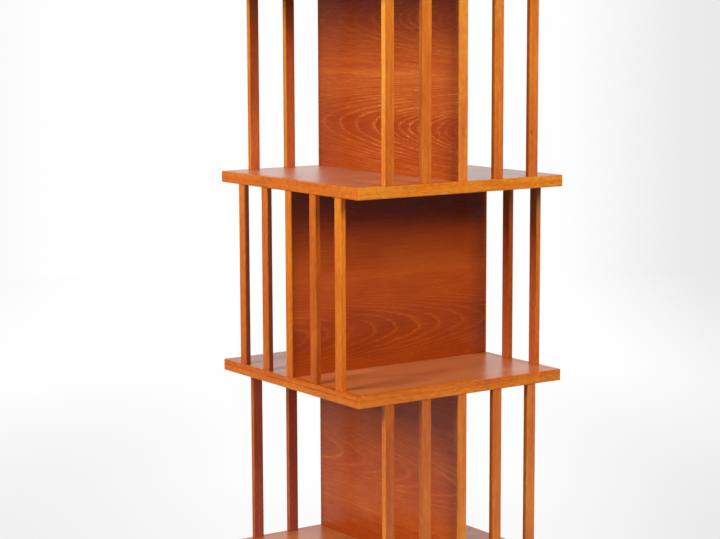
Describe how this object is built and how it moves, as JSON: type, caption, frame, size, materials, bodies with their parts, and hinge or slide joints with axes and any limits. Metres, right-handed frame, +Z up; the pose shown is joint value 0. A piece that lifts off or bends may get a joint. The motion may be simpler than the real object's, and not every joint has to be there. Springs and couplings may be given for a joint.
{
  "type": "revolving bookcase",
  "caption": "Revolving bookcase: square boards with slatted sides and a central divider in each open tier, every second tier turned a quarter, on a low cross base.",
  "frame": {"origin": "on the floor, under the spindle's axis", "axes": "+Z up along the spindle; -Y is the front, the slatted side of the upper tier; -X is the left"},
  "size_m": [0.4, 0.4, 1.0225],
  "materials": {
    "teak_veneer": "satin",
    "teak_solid": "satin",
    "plywood": "matt",
    "nylon": "satin",
    "zinc_plated_steel": "satin"
  },
  "bodies": {
    "base": {"base_rail_lower_lap": "teak_solid", "base_rail_upper_lap": "teak_solid", "foot_glides": "nylon", "swivel_lower_plate": "zinc_plated_steel", "lower_plate_screws": "zinc_plated_steel", "swivel_bearing": "nylon"},
    "carousel": {"bottom_board": "teak_veneer", "bottom_board_lipping": "teak_solid", "lower_shelf": "teak_veneer", "lower_shelf_lipping": "teak_solid", "upper_shelf": "teak_veneer", "upper_shelf_lipping": "teak_solid", "top_board": "teak_veneer", "top_board_lipping": "teak_solid", "lower_divider": "teak_veneer", "lower_divider_front_lipping": "teak_solid", "lower_front_slat_1": "teak_solid", "lower_front_slat_2": "teak_solid", "lower_front_slat_3": "teak_solid", "lower_front_slat_4": "teak_solid", "lower_divider_back_lipping": "teak_solid", "lower_back_slat_1": "teak_solid", "lower_back_slat_2": "teak_solid", "lower_back_slat_3": "teak_solid", "lower_back_slat_4": "teak_solid", "middle_divider": "teak_veneer", "middle_divider_left_lipping": "teak_solid", "middle_left_slat_1": "teak_solid", "middle_left_slat_2": "teak_solid", "middle_left_slat_3": "teak_solid", "middle_left_slat_4": "teak_solid", "middle_divider_right_lipping": "teak_solid", "middle_right_slat_1": "teak_solid", "middle_right_slat_2": "teak_solid", "middle_right_slat_3": "teak_solid", "middle_right_slat_4": "teak_solid", "upper_divider": "teak_veneer", "upper_divider_front_lipping": "teak_solid", "upper_front_slat_1": "teak_solid", "upper_front_slat_2": "teak_solid", "upper_front_slat_3": "teak_solid", "upper_front_slat_4": "teak_solid", "upper_divider_back_lipping": "teak_solid", "upper_back_slat_1": "teak_solid", "upper_back_slat_2": "teak_solid", "upper_back_slat_3": "teak_solid", "upper_back_slat_4": "teak_solid", "divider_tongues": "plywood", "swivel_upper_plate": "zinc_plated_steel", "upper_plate_screws": "zinc_plated_steel", "swivel_spindle": "zinc_plated_steel", "spindle_washer": "zinc_plated_steel", "spindle_nut": "zinc_plated_steel"}
  },
  "joints": [
    {"name": "carousel_turn", "type": "hinge", "parent": "base", "child": "carousel", "pos_m": [0, 0, 0.04905], "axis": [0, 0, 1], "continuous": true}
  ]
}
